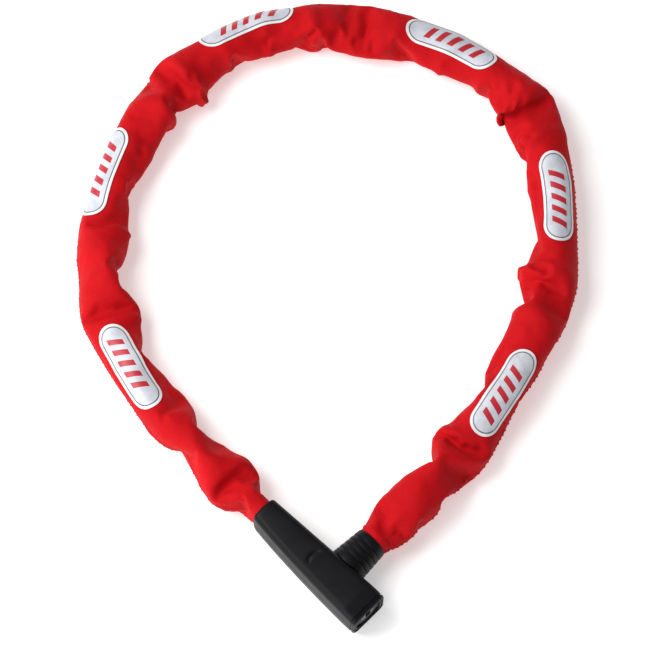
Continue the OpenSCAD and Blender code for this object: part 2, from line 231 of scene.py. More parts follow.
def reflective_film():
    """White film with a fine bead texture, a thin grey line and plain slanted red bars."""
    m = Nodes("reflective_film")
    uv = m.uv("film")
    split = m.add("SeparateXYZ", Vector=uv)
    x, y = split.outputs["X"], split.outputs["Y"]
    beads = m.add("TexVoronoi", Scale=1400.0, Vector=m.place_of()).outputs["Distance"]
    worn = m.noise(220.0, detail=5.0)
    white = m.ramp(worn, [(0.3, (0.74, 0.74, 0.75)), (0.6, (0.86, 0.86, 0.87))])
    field = m.ramp(worn, [(0.3, (0.52, 0.54, 0.60)), (0.6, (0.66, 0.68, 0.74))])
    # Distance from the stadium's middle line, in shares of its half width
    beyond = m.math("MAXIMUM", m.math("SUBTRACT", m.math("ABSOLUTE", x), FILM_STRAIGHT), 0.0)
    from_line = m.math("SQRT", m.math("ADD", m.math("POWER", beyond, 2.0), m.math("POWER", y, 2.0)))
    line = m.math("COMPARE", from_line, LINE_AT, LINE_HALF_W)
    slant = m.math("ADD", x, m.math("MULTIPLY", y, BAR_SLANT))
    bars = m.math("LESS_THAN", m.math("FRACT", m.math("MULTIPLY", slant, BARS_EACH)), 0.5)
    inside_x = m.math("LESS_THAN", m.math("ABSOLUTE", slant), BARS_REACH)
    inside_y = m.math("LESS_THAN", m.math("ABSOLUTE", y), BAR_HALF_H)
    mark = m.math("MULTIPLY", bars, m.math("MULTIPLY", inside_x, inside_y))
    colour = m.mix(m.math("LESS_THAN", from_line, LINE_AT), white, field)
    colour = m.mix(line, colour, rgb(0.10, 0.09, 0.12))
    colour = m.mix(mark, colour, rgb(0.50, 0.01, 0.025))
    m.set(Base_Color=colour, Roughness=m.value_ramp(worn, 0.3, 0.7, 0.38, 0.55))
    m.set(Normal=m.bump(beads, 0.04 * MM, 0.3), Specular_IOR_Level=0.6)
    return m.material


def black_plastic():
    m = Nodes("black_plastic")
    grain = m.add("TexVoronoi", Scale=2600.0, Vector=m.place_of()).outputs["Distance"]
    cloud = m.noise(90.0, detail=5.0)
    scuffs = m.noise(420.0, detail=6.0, roughness=0.7)
    colour = m.ramp(cloud, [(0.3, (0.003, 0.003, 0.0042)), (0.7, (0.0055, 0.0058, 0.0075))])
    worn = m.value_ramp(scuffs, 0.55, 0.8, 0.0, 0.12)
    rough = m.math("ADD", m.value_ramp(cloud, 0.3, 0.7, 0.42, 0.5), worn)
    m.set(Base_Color=colour, Roughness=rough, Normal=m.bump(grain, 0.02 * MM, 0.35))
    m.set(Specular_IOR_Level=0.17)
    return m.material


def metal(name, light, dark, rough, brushed=(1.0, 1.0, 12.0)):
    """Machined metal: streaks drawn out along one direction, with clouded stains."""
    m = Nodes(name)
    stretch = m.add("Mapping", Vector=m.place_of(), Scale=brushed)
    streaks = m.noise(700.0, detail=3.0, where=stretch.outputs["Vector"])
    stain = m.noise(140.0, detail=4.0)
    tone = m.math("ADD", m.math("MULTIPLY", streaks, 0.5), m.math("MULTIPLY", stain, 0.5))
    colour = m.ramp(tone, [(0.35, dark), (0.65, light)])
    uneven = m.value_ramp(streaks, 0.3, 0.7, rough - 0.07, rough + 0.1)
    m.set(Base_Color=colour, Metallic=1.0, Roughness=uneven)
    m.set(Normal=m.bump(streaks, 0.02 * MM, 0.3))
    return m.material


# ---- Mesh helpers ----


def new_object(name, points, faces, material=None):
    """A smooth-shaded object of its own mesh, put in the scene."""
    mesh = bpy.data.meshes.new(name)
    mesh.from_pydata([tuple(p) for p in points], [], faces)
    mesh.validate()
    mesh.shade_smooth()
    if material:
        mesh.materials.append(material)
    piece = bpy.data.objects.new(name, mesh)
    bpy.context.scene.collection.objects.link(piece)
    return piece


def ease(share):
    """A share from 0 to 1 that starts and ends gently."""
    return share * share * (3 - 2 * share)


def grid_faces(rows, columns, first=0, around=False, flip=False):
    """Quads of a grid of points stored row by row, whose columns may close into a ring."""
    faces = []
    for i in range(rows - 1):
        for j in range(columns if around else columns - 1):
            k = (j + 1) % columns
            quad = (first + i * columns + j, first + i * columns + k,
                    first + (i + 1) * columns + k, first + (i + 1) * columns + j)
            faces.append(quad[::-1] if flip else quad)
    return faces


def ring_faces(rows, columns, around=True):
    """Quads of a grid whose rows close into a loop, and whose columns may close too."""
    faces = grid_faces(rows + 1, columns, 0, around=around)
    return [tuple(v % (rows * columns) for v in face) for face in faces]


def shell_faces(rows, columns):
    """Faces of a closed shell: an outer grid, an inner grid behind it, and rims that join their edges."""
    back = rows * columns
    last = (rows - 1) * columns
    side = columns - 1
    faces = grid_faces(rows, columns)
    faces += grid_faces(rows, columns, back, flip=True)
    for j in range(side):
        faces.append((j + 1, j, back + j, back + j + 1))
        faces.append((last + j, last + j + 1, back + last + j + 1, back + last + j))
    for a in range(0, last, columns):
        b = a + columns
        faces.append((a, b, back + b, back + a))
        faces.append((b + side, a + side, back + a + side, back + b + side))
    return faces


def catmull(points, t):
    """Catmull-Rom values at the fractional places t of a list of points, along its first axis."""
    last = len(points) - 1
    i = np.clip(np.floor(t).astype(int), 0, last - 1)
    f = (t - i).reshape((-1,) + (1,) * (points.ndim - 1))
    before, here = points[np.maximum(i - 1, 0)], points[i]
    ahead, after = points[i + 1], points[np.minimum(i + 2, last)]
    return 0.5 * (2 * here + (ahead - before) * f
                  + (2 * before - 5 * here + 4 * ahead - after) * f ** 2
                  + (3 * here - before - 3 * ahead + after) * f ** 3)


def unit(vectors):
    """Vectors made one long, along the last axis."""
    return vectors / np.maximum(np.linalg.norm(vectors, axis=-1, keepdims=True), 1e-12)


# ---- Sleeve: path, rest shape and simulation ----

# The cloth, which is cut longer than the chain inside it
SLEEVE_AROUND = 72 * MM
SLEEVE_T = 0.8 * MM
SLEEVE_EASE = 1.01  # its length for each length of chain where it is smooth
GATHER = 1.12  # and where it bunches up
BUNCH_LENGTH = 9 * MM
BUNCH_SHARES = (0.36, 0.64)  # where it bunches up between one film and the next
BUNCH_SHIFT = 3 * MM  # most that a bunch lies off its share
INNER_FOLLOW = 0.35  # share of the inner side's spare length that is left between the bunches
HELD_LENGTH = 12 * MM  # stretch at each end over which the spare length comes in
# The shape it starts from: a tube drawn in to the tail's oval mouth and to the collar
START_AROUND = 66 * MM
MOUTH_HALF = (6.0 * MM, 10.7 * MM)
COLLAR_MOUTH = 8.1 * MM
TAIL_TAPER, COLLAR_TAPER = 26 * MM, 24 * MM
PATH_KINK = 0.6  # how far the sleeve bends sharply at each link instead of evenly
START_NOISE = 0.04 * MM
# The simulation: its grid, its scale and its length
RING_STEP = 2.5 * MM
SIDES = 28
SIM_SCALE = 20.0
SIM_FRAMES = 45
WIRE_SIDES, WIRE_RINGS = 8, 24  # of the links that the cloth lies on
SIM_FLOOR_HALF, SIM_FLOOR_Y = 0.4, 0.15
# The films: size, places counted in links, and how far each is turned outward, in degrees
FILM_LENGTH, FILM_WIDTH = 50 * MM, 17.5 * MM
FILM_STRAIGHT = FILM_LENGTH / FILM_WIDTH - 1.0  # half the straight part, in shares of the half width
FILM_MARGIN = 3 * MM  # the cloth next to a film is stiff out to here
FIRST_FILM, FILM_EVERY = 4.9, 4.37
FILM_TILTS = (5, 30, 30, 5, 0, 5)


def sleeve_path():
    """Points of the sleeve's centre line at equal steps, from the tail's mouth to the collar's end."""
    tail = place(TAIL_X, 0, 0)
    end = place(0, COLLAR_END_Y, 0)
    knots = [tail, tail - 9 * MM * ALONG]
    knots += [LINKS[i] for i in range(2, LINK_COUNT + 1)]
    knots += [end + 8 * MM * OUT, end]
    knots = np.array(knots)
    corners = np.linspace(0, len(knots) - 1, 3000)
    straight = np.stack([np.interp(corners, np.arange(len(knots)), knots[:, k]) for k in range(3)], axis=1)
    fine = (1 - PATH_KINK) * catmull(knots, corners) + PATH_KINK * straight
    length = np.concatenate([[0], np.cumsum(np.linalg.norm(np.diff(fine, axis=0), axis=1))])
    rings = int(length[-1] / RING_STEP) + 1
    even = np.linspace(0, length[-1], rings)
    return np.stack([np.interp(even, length, fine[:, k]) for k in range(3)], axis=1), length[-1]


def ring_shape(share, half_w, half_h):
    """Points of a ring at shares of a full turn: an ellipse, or a fuller form the taller it is."""
    angle = 2 * np.pi * share
    power = np.clip(half_w / half_h, 0.6, 1.0) ** 0.5
    wide, high = np.cos(angle), np.sin(angle)
    return half_w * np.sign(wide) * abs(wide) ** power, half_h * np.sign(high) * abs(high) ** power


def start_shape(path, length):
    """The sleeve before it settles: round in the middle, and drawn in at both ends."""
    outward = unit(np.cross(UP, unit(np.gradient(path, axis=0))))
    s = np.linspace(0, length, len(path))
    radius = START_AROUND / (2 * np.pi)
    from_tail = np.clip(s / TAIL_TAPER, 0, 1)
    from_end = np.clip((length - s) / COLLAR_TAPER, 0, 1)
    at_end = (radius - COLLAR_MOUTH) * (1 - ease(from_end))
    half_w = radius - (radius - MOUTH_HALF[0]) * (1 - ease(from_tail)) - at_end
    half_h = radius - (radius - MOUTH_HALF[1]) * (1 - ease(from_tail)) - at_end
    share = np.arange(SIDES) / SIDES
    wide, high = ring_shape(share[None, :], half_w[:, None], half_h[:, None])
    return path[:, None, :] + wide[..., None] * outward[:, None, :] + high[..., None] * UP


def bunches(length):
    """Places along the sleeve where it bunches up: twice between each film and the next."""
    films_at = [centre for centre, _ in film_places(length)]
    spacing = np.diff(films_at).mean()
    edges = [films_at[0] - spacing, *films_at, films_at[-1] + spacing]
    shift = rng.uniform(-BUNCH_SHIFT, BUNCH_SHIFT, 2 * len(edges))
    between = [a + (b - a) * share for a, b in zip(edges, edges[1:]) for share in BUNCH_SHARES]
    return [middle + move for middle, move in zip(between, shift)]


def growth(start, length):
    """How much each point's own cloth outgrows its place, since the sleeve is cut straight and long."""
    rings = len(start)
    step = np.linalg.norm(np.gradient(start, axis=0), axis=2)
    widest = step.max(axis=1, keepdims=True)
    s = np.linspace(0, length, rings)
    bunch = sum(np.exp(-((s - middle) / BUNCH_LENGTH) ** 2) for middle in bunches(length))
    slack = SLEEVE_EASE + (GATHER - SLEEVE_EASE) * np.minimum(bunch, 1)
    follow = INNER_FOLLOW + (1 - INNER_FOLLOW) * np.minimum(bunch, 1)
    covered = film_weight(rings, length).max(axis=1)
    slack = slack * (1 - covered) + SLEEVE_EASE * covered
    step = step + (1 - follow)[:, None] * (widest - step)
    at_ends = np.minimum(np.arange(rings), np.arange(rings)[::-1]) * RING_STEP
    free = np.clip(at_ends / HELD_LENGTH, 0, 1)
    return 1 + (widest * slack[:, None] / step - 1) * free[:, None]


def simple_link(centre, heading, upright):
    """A light copy of a link for the simulation to lie on: a round wire along the link's loop, thick
    enough to hold the corners of the square wire and the cloth's own thickness."""
    bow_r = LINK_HALF_W - WIRE_R
    thick = 1.15 * WIRE_R + SLEEVE_T
    across = UP if upright else np.cross(UP, heading)
    turn = np.linspace(0, 2 * np.pi, WIRE_RINGS, endpoint=False)
    shift = np.where(np.cos(turn) >= 0, LINK_STRAIGHT, -LINK_STRAIGHT)
    line = (centre + (shift + bow_r * np.cos(turn))[:, None] * heading
            + (bow_r * np.sin(turn))[:, None] * across)
    out = np.cos(turn)[:, None] * heading + np.sin(turn)[:, None] * across
    wire = np.linspace(0, 2 * np.pi, WIRE_SIDES, endpoint=False) + np.pi / WIRE_SIDES
    rings = (line[:, None, :] + thick * np.cos(wire)[None, :, None] * out[:, None, :]
             + thick * np.sin(wire)[None, :, None] * np.cross(heading, across))
    return rings.reshape(-1, 3), ring_faces(WIRE_RINGS, WIRE_SIDES)


def face_outward(piece):
    """Turns every face of a mesh of closed solids outward."""
    work = bmesh.new()
    work.from_mesh(piece.data)
    bmesh.ops.recalc_face_normals(work, faces=work.faces)
    work.to_mesh(piece.data)
    work.free()


def link_heading(i):
    """The way from the link before link i to the link after it."""
    ends = LINKS.get(i - 1, LINKS[1]), LINKS.get(i + 1, LINKS[LINK_COUNT])
    return unit(ends[1] - ends[0])


def simulation_obstacles():
    """The chain and the floor, at the simulation's scale."""
    points, faces = [], []
    for i in range(1, LINK_COUNT + 1):
        link_points, link_faces = simple_link(LINKS[i], link_heading(i), i % 2 == 1)
        first = len(points)
        points.extend(link_points * SIM_SCALE)
        faces.extend([tuple(first + v for v in face) for face in link_faces])
    chain = new_object("chain_obstacle", points, faces)
    face_outward(chain)
    corners = np.array([(x, y, 0) for x, y in ((-1, -1), (1, -1), (1, 1), (-1, 1))]) * SIM_FLOOR_HALF
    corners = (corners + (0, SIM_FLOOR_Y, FLOOR_Z)) * SIM_SCALE
    floor = new_object("floor_obstacle", corners, [(0, 1, 2, 3)])
    for obstacle in (chain, floor):
        obstacle.modifiers.new("collide", "COLLISION")
        obstacle.collision.thickness_outer = 0.35 * MM * SIM_SCALE
        obstacle.collision.cloth_friction = 8.0
    return chain, floor


def film_weight(rings, length):
    """How far the stiffer film covers each point of the sleeve, from 0 to 1."""
    s = np.linspace(0, length, rings)
    weight = np.zeros((rings, SIDES))
    for centre, turn in film_places(length):
        along = np.clip((FILM_LENGTH / 2 + FILM_MARGIN - abs(s - centre)) / (6 * MM), 0, 1)
        angle = 2 * np.pi * np.arange(SIDES) / SIDES - turn
        off = abs((angle + np.pi) % (2 * np.pi) - np.pi) * SLEEVE_AROUND / (2 * np.pi)
        side = np.clip((FILM_WIDTH / 2 + FILM_MARGIN - off) / (4 * MM), 0, 1)
        weight = np.maximum(weight, along[:, None] * side[None, :])
    return weight


def film_places(length):
    """Each film's place along the sleeve and the angle round it: 90 degrees is up, 0 is outward."""
    places = []
    for k, tilt in enumerate(FILM_TILTS):
        t = FIRST_FILM + k * FILM_EVERY
        i = int(t)
        centre = LINKS[i] * (1 - (t - i)) + LINKS[i + 1] * (t - i)
        nearest = np.argmin(np.linalg.norm(PATH - centre, axis=1))
        places.append((length * nearest / (len(PATH) - 1), np.radians(90 - tilt)))
    return places


def weigh(piece, name, weights):
    """A vertex group with a weight for every point."""
    group = piece.vertex_groups.new(name=name)
    for index, weight in enumerate(weights.ravel()):
        group.add([index], float(weight), "REPLACE")


def simulate_sleeve(path, length):
    """Lets the gathered sleeve settle on the chain and the floor, and returns its points."""
    rings = len(path)
    start = start_shape(path, length)
    start += rng.normal(0, START_NOISE, start.shape)
    faces = grid_faces(rings, SIDES, 0, around=True)
    cloth = new_object("cloth", (start * SIM_SCALE).reshape(-1, 3), faces)
    grown = growth(start, length)
    most = grown.max()
    weigh(cloth, "short", (most - grown) / (most - 1))
    held = cloth.vertex_groups.new(name="held")
    held.add([*range(2 * SIDES), *range((rings - 2) * SIDES, rings * SIDES)], 1.0, "REPLACE")
    weigh(cloth, "stiff", film_weight(rings, length))
    obstacles = simulation_obstacles()
    modifier = cloth.modifiers.new("cloth", "CLOTH")
    settings = modifier.settings
    settings.quality = 8
    settings.effector_weights.gravity = 0.05
    settings.mass = 0.4
    settings.air_damping = 2.0
    settings.tension_stiffness = 200.0
    settings.compression_stiffness = 200.0
    settings.shear_stiffness = 20.0
    settings.bending_stiffness = 40.0
    settings.bending_stiffness_max = 500.0
    settings.vertex_group_bending = "stiff"
    settings.tension_damping = 15.0
    settings.compression_damping = 15.0
    settings.bending_damping = 2.0
    settings.use_pressure = True
    settings.uniform_pressure_force = 0.1
    settings.vertex_group_mass = "held"
    settings.vertex_group_shrink = "short"
    settings.shrink_min = 1 - most
    settings.shrink_max = 0.0
    modifier.collision_settings.distance_min = 0.3 * MM * SIM_SCALE
    modifier.collision_settings.collision_quality = 3
    modifier.point_cache.frame_start = 1
    modifier.point_cache.frame_end = SIM_FRAMES
    scene = bpy.context.scene
    for number in range(1, SIM_FRAMES + 1):
        scene.frame_set(number)
    evaluated = cloth.evaluated_get(bpy.context.evaluated_depsgraph_get())
    points = np.array([vertex.co for vertex in evaluated.data.vertices]) / SIM_SCALE
    scene.frame_set(1)
    for helper in (cloth, *obstacles):
        bpy.data.objects.remove(helper)
    return points.reshape(rings, SIDES, 3)


PATH, PATH_LENGTH = sleeve_path()
settled = simulate_sleeve(PATH, PATH_LENGTH)


# ---- Sleeve: shown pieces ----

DENSER = 2  # shown rings and sides for each simulated one
WRAP = 3  # columns repeated past the seam while interpolating
FILM_SMOOTHING = 25  # rounds of smoothing under the films
METAL_GAP = 0.15 * MM  # least room left between the cloth's inner face and the metal
CLEARING_ROUNDS = 2
FILM_T = 0.35 * MM
FILM_LIFT = 0.12 * MM
SEAM_HALF_W = 1.3 * MM
STITCH_EVERY = 2.8 * MM
STITCH_LENGTH = 2.3 * MM
STITCH_HEIGHT, STITCH_DIP = 0.9 * MM, 0.5 * MM
STITCH_POINTS, THREAD_SIDES = 7, 6
THREAD_R = 0.24 * MM
SEAM_HEIGHT = 0.45 * MM
SEAM_T = 0.3 * MM


def wrapped(columns):
    """A ring's columns with a few of them repeated at both ends, for places that cross the seam."""
    return np.concatenate([columns[-WRAP:], columns, columns[:WRAP + 1]])


def denser(grid):
    """A finer grid through the simulated points, whose last column repeats its first."""
    rows, sides, _ = grid.shape
    fine = catmull(grid, np.linspace(0, rows - 1, (rows - 1) * DENSER + 1))
    turned = catmull(wrapped(fine.transpose(1, 0, 2)), WRAP + np.linspace(0, sides, sides * DENSER + 1))
    return turned.transpose(1, 0, 2)


def under_films(grid, length):
    """How far each point of the denser grid lies under a film, from 0 to 1."""
    weight = film_weight((len(grid) - 1) // DENSER + 1, length)
    looped = np.concatenate([weight, weight[:, :1]], axis=1)
    rows = np.linspace(0, len(looped) - 1, len(grid))
    columns = np.linspace(0, looped.shape[1] - 1, grid.shape[1])
    return np.clip(catmull(catmull(looped, rows).T, columns).T, 0, 1)


def smoothed(grid, weight, rounds):
    """The grid with small ripples taken out where the weight is high."""
    for _ in range(rounds):
        looped = np.concatenate([grid[:, -2:-1], grid, grid[:, 1:2]], axis=1)
        around = (looped[:, 2:] + looped[:, :-2]) / 2
        along = grid.copy()
        along[1:-1] = (grid[2:] + grid[:-2]) / 2
        grid = grid + 0.5 * weight[..., None] * ((around + along) / 2 - grid)
    return grid


def covered_tree():
    """The metal parts that the sleeve covers, as one tree for finding nearest faces."""
    points, faces = [], []
    for name, node in frame["nodes"].items():
        if name.startswith("link_") or name in ("end_bolt", "collar_anchor_pin", "collar_sleeve_clamp"):
            first = len(points)
            points.extend(vertex.co for vertex in node.data.vertices)
            faces.extend([first + v for v in face.vertices] for face in node.data.polygons)
    return BVHTree.FromPolygons(points, faces)


def clear_of_metal(grid):
    """Moves points of the sleeve out until the cloth's inner face clears the metal inside it."""
    tree = covered_tree()
    for _ in range(CLEARING_ROUNDS):
        lift = np.zeros(grid.shape[:2])
        for at in np.ndindex(lift.shape):
            point = Vector(grid[at])
            nearest, normal, _, distance = tree.find_nearest(point)
            if (point - nearest).dot(normal) < 0:
                distance = -distance
            lift[at] = max(SLEEVE_T + METAL_GAP - distance, 0)
        lift[:2] = lift[-2:] = 0
        grid = grid + lift[..., None] * ring_normals(grid)
    return grid


def on_surface(grid, rows, sides):
    """Points of the sleeve at fractional rows and, on each row, at its own fractional sides."""
    count = grid.shape[1] - 1
    rings = catmull(grid[:, :-1], rows)
    points = [catmull(wrapped(ring), WRAP + np.mod(places, count)) for ring, places in zip(rings, sides)]
    return np.array(points)


def patch_normals(points):
    """Unit normals of a grid of points, on the side that faces out of the sleeve."""
    return unit(np.cross(np.gradient(points, axis=1), np.gradient(points, axis=0)))


def ring_normals(grid):
    """Unit normals of the whole sleeve, equal along both sides of its seam."""
    looped = np.concatenate([grid[:, -2:-1], grid, grid[:, 1:2]], axis=1)
    return patch_normals(looped)[:, 1:-1]


def shell(name, surface, normals, heights, material, uv):
    """A closed shell between two heights over a surface, shaded as one with its neighbours. Its uv is
    the map's name and the coordinates of each point of the surface."""
    rows, columns, _ = surface.shape
    low, high = heights
    outer, inner = surface + normals * high, surface + normals * low
    points = np.concatenate([outer.reshape(-1, 3), inner.reshape(-1, 3)])
    piece = new_object(name, points, shell_faces(rows, columns), material)
    layer = piece.data.uv_layers.new(name=uv[0])
    corners = np.empty(len(piece.data.loops), int)
    piece.data.loops.foreach_get("vertex_index", corners)
    layer.data.foreach_set("uv", np.tile(uv[1].reshape(-1, 2), (2, 1))[corners].ravel())
    facing = np.concatenate([normals.reshape(-1, 3), -normals.reshape(-1, 3)])
    piece.data.normals_split_custom_set_from_vertices(facing)
    return piece


def soft_piece(piece, i, node):
    """Puts a piece in the place of a CAD node."""
    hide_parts(node)
    if i == LINK_COUNT:
        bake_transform(piece)
        return
    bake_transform(piece)


def sleeve_cuts(grid):
    """Rows where the sleeve is cut: {link: (first row, last row)} for the part that starts at each link.
    The chain's loop is open at its middle pivot, so no part crosses it."""
    centres = grid.mean(axis=1)
    open_link = LINK_COUNT // 2

    def row_at(point):
        return int(np.argmin(np.linalg.norm(centres - point, axis=1)))

    middle = row_at((LINKS[open_link] + LINKS[open_link + 1]) / 2)
    cuts = {i: (row_at(LINKS[i]), row_at(LINKS[i + 1])) for i in range(2, LINK_COUNT)}
    cuts[1] = (0, cuts[2][0])
    cuts[LINK_COUNT] = (cuts[LINK_COUNT - 1][1], len(grid) - 1)
    cuts[open_link - 1] = (cuts[open_link - 1][0], middle)
    cuts[open_link + 1] = (middle, cuts[open_link + 1][1])
    del cuts[open_link]
    return cuts


def sleeve_parts(grid, normals, cuts, material):
    """The sleeve itself, as one shell for each part of the chain."""
    rows, columns, _ = grid.shape
    s = np.arange(rows) * RING_STEP / DENSER
    v = np.arange(columns) * SLEEVE_AROUND / (columns - 1)
    uv = np.stack(np.meshgrid(s, v, indexing="ij"), axis=2)
    for i, (first, last) in sorted(cuts.items()):
        part = slice(first, last + 1)
        piece = shell(f"sleeve_{i:02d}", grid[part], normals[part], (-SLEEVE_T, 0.0), material,
                      ("weave", uv[part]))
        soft_piece(piece, i, "textile_sleeve")


def films(grid, cuts, length, material):
    """The reflective films: stadium-shaped shells that follow the sleeve, cut where the sleeve is cut."""
    rows = len(grid)
    count = grid.shape[1] - 1
    side_step = np.linalg.norm(np.diff(grid, axis=1), axis=2).mean()
    half = FILM_LENGTH / 2
    radius = FILM_WIDTH / 2
    across = np.linspace(-1, 1, 17)
    for number, (centre, turn) in enumerate(film_places(length), 1):
        middle_row = centre / length * (rows - 1)
        row_step = length / (rows - 1) * SLEEVE_EASE
        for i, (first, last) in sorted(cuts.items()):
            low = max((first - middle_row) * row_step, -half)
            high = min((last - middle_row) * row_step, half)
            if high - low < 0.5 * MM:
                continue
            # Rows draw closer together where the film's end is round
            swing = np.linspace(math.asin(low / half), math.asin(high / half), 40)
            x = half * np.sin(swing)
            beyond = np.maximum(abs(x) - (half - radius), 0)
            half_width = np.sqrt(np.maximum(radius ** 2 - beyond ** 2, (0.15 * MM) ** 2))
            y = half_width[:, None] * across[None, :]
            sides = turn / (2 * np.pi) * count + y / side_step
            surface = on_surface(grid, middle_row + x / row_step, sides)
            normals = patch_normals(surface)
            uv = np.stack(np.broadcast_arrays(x[:, None] / radius, y / radius), axis=2)
            heights = (FILM_LIFT, FILM_LIFT + FILM_T)
            piece = shell(f"film_{number}_{i:02d}", surface, normals, heights, material, ("film", uv))
            soft_piece(piece, i, "reflective_patches")


def stitch(middle, heading, across, normal):
    """Points of one slanted stitch: a thread that comes out of the cloth and dips back into it."""
    t = np.linspace(-1, 1, STITCH_POINTS)
    way = unit(heading * 0.5 + across)
    height = (1 - t ** 2) * STITCH_HEIGHT - STITCH_DIP
    line = middle + t[:, None] * way * STITCH_LENGTH / 2 + height[:, None] * normal
    turn = np.linspace(0, 2 * np.pi, THREAD_SIDES, endpoint=False)
    side = np.cross(way, normal)
    ring = np.cos(turn)[:, None] * side + np.sin(turn)[:, None] * normal
    return line[:, None, :] + ring[None, :, :] * THREAD_R


def seam_parts(grid, cuts, material):
    """The seam's raised hem, along the sleeve's outer side."""
    step = RING_STEP / DENSER
    count = grid.shape[1] - 1
    side_step = SLEEVE_AROUND / count
    profile = np.linspace(-1, 1, 7)
    sides = profile * SEAM_HALF_W / side_step
    for i, (first, last) in sorted(cuts.items()):
        rows = np.arange(first, last + 1)
        surface = on_surface(grid, rows, np.tile(sides, (len(rows), 1)))
        up = patch_normals(surface)
        raised = surface + up * (SEAM_HEIGHT * np.sqrt(np.maximum(1 - profile ** 2, 0)))[None, :, None]
        v = np.broadcast_to(profile[None, :] * SEAM_HALF_W, (len(rows), len(profile)))
        u = np.broadcast_to((rows * step)[:, None], v.shape)
        uv = np.stack([u, v], axis=2)
        hem = shell(f"seam_{i:02d}", raised, up, (-SEAM_T, 0.0), material, ("weave", uv))
        soft_piece(hem, i, "textile_sleeve")


def stitch_parts(grid, normals, cuts, material):
    """The stitches along the seam, as one piece for each part of the chain."""
    every = STITCH_EVERY / (RING_STEP / DENSER)
    heading = unit(np.gradient(grid[:, 0], axis=0))
    for i, (first, last) in sorted(cuts.items()):
        points, faces = [], []
        for row in np.arange(first + every / 2, last - every / 2, every):
            at = int(round(row))
            normal = normals[at, 0]
            middle = grid[at, 0] + 0.3 * MM * normal
            thread = stitch(middle, heading[at], np.cross(normal, heading[at]), normal)
            first_point = len(points)
            points.extend(thread.reshape(-1, 3))
            last_ring = first_point + (STITCH_POINTS - 1) * THREAD_SIDES
            faces += grid_faces(STITCH_POINTS, THREAD_SIDES, first_point, around=True)
            faces.append(tuple(range(first_point, first_point + THREAD_SIDES))[::-1])
            faces.append(tuple(range(last_ring, last_ring + THREAD_SIDES)))
        threads = new_object(f"stitches_{i:02d}", points, faces, material)
        face_outward(threads)
        soft_piece(threads, i, "textile_sleeve")


# ---- Lock body and collar: moulded forms ----

# The casing: its walls, rounded edges and parting line
TAIL_HALF_W = 7.2 * MM
WALL = 1.25 * MM
FAR_ROUND, NEAR_ROUND = 3.6 * MM, 3.8 * MM
DRAFT = 0.5 * MM  # how far the far side leans in from the parting line to the top
CROWN = 0.2 * MM  # how far the top bulges in its middle
PARTING_GAP = 0.06 * MM
PARTING_V = 0.3 * MM
SECTION_STEP = 0.8 * MM
# The crescent-shaped thumb mark in its top
CREASE_X, CREASE_HALF_W, CREASE_DEPTH, CREASE_BOW = -14 * MM, 1.3 * MM, 0.6 * MM, 1.6 * MM
CREASE_REACH = 4.6 * MM
# Its tail, as distances on from the end and drawn in all round, in mm: a small rounded edge
TAIL_PROFILE = ((0, 1.3), (0.2, 0.6), (0.7, 0.15), (1.4, 0))
# Its key end, as distances back from the end, drawn in all round and lowered at the top, in mm. Its
# rows are a long soft bevel, a groove, and a rounded rim that turns inside
END_PROFILE = (
    (9.4, 0, 0), (8.8, 0, 0.04), (8, 0, 0.12), (7, 0, 0.26), (5.8, 0, 0.44), (4.6, 0, 0.62), (3.4, 0, 0.8),
    (2.65, 0.05, 0.9), (2.35, 0.5, 1), (2.1, 0.5, 1.05), (1.8, 0.1, 1.1),
    (1.1, 0.05, 1.3), (0.5, 0.2, 1.6), (0.15, 0.5, 1.9), (0, 0.8, 2), (0, 1.1, 2), (0.3, 1.35, 2),
    (2.2, 1.4, 2),
)
END_DROP = 2.0 * MM
# Its openings: the sleeve's mouth, the bolt's socket and the screws
SLOT_HALF = (5.2 * MM, 10.3 * MM)
SOCKET_R, SOCKET_Y = 5.1 * MM, (3 * MM, 14 * MM)
SCREW_X = (-27 * MM, -14 * MM)
SCREW_BORE_R, SCREW_BORE_Z = 2.7 * MM, (-14 * MM, -9.2 * MM)
# The key end's plate
PLUG_R = 4.6 * MM
RECESS_R = 6.3 * MM
# The collar, and a groove of it as distances along it in mm and shares of its depth
COLLAR_END_R = 8.5 * MM
COLLAR_BORE_R, BOLT_BORE_R = 7.2 * MM, 4.65 * MM
COLLAR_GROOVES, FIRST_GROOVE, GROOVE_EVERY = 4, 2.9 * MM, 3.1 * MM
GROOVE_DEPTH = 0.4 * MM
GROOVE_PROFILE = ((0, 0), (0.25, 0.12), (0.5, 0.85), (0.75, 1), (1.0, 0.85), (1.25, 0.12), (1.5, 0))


def loft(name, grid, material, closed):
    """A solid from rows of points. The rows close into a loop, and the columns close too or get flat ends."""
    rows, columns, _ = grid.shape
    faces = ring_faces(rows, columns, around=closed)
    if not closed:
        faces.append(tuple(i * columns for i in range(rows)))
        faces.append(tuple(i * columns + columns - 1 for i in reversed(range(rows))))
    piece = new_object(name, grid.reshape(-1, 3), faces, material)
    face_outward(piece)
    sharpen(piece)
    return piece


def moulded(piece, body, node):
    """Puts a moulded piece on its body, in the place of a CAD node."""
    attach(piece, body)
    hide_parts(node)


def sharpen(piece):
    """Shades a piece smooth, but keeps its clear edges sharp."""
    piece.data.shade_smooth()
    piece.data.set_sharp_from_angle(angle=math.radians(38))


def cut_out(piece, cutters, solver):
    """Takes solids out of a piece, and throws them away."""
    for cutter in cutters:
        face_outward(cutter)
        modifier = piece.modifiers.new("cut", "BOOLEAN")
        modifier.operation = "DIFFERENCE"
        modifier.solver = solver
        modifier.object = cutter
    evaluated = piece.evaluated_get(bpy.context.evaluated_depsgraph_get())
    cut = bpy.data.meshes.new_from_object(evaluated)
    piece.modifiers.clear()
    piece.data = cut
    for cutter in cutters:
        bpy.data.objects.remove(cutter)
    sharpen(piece)


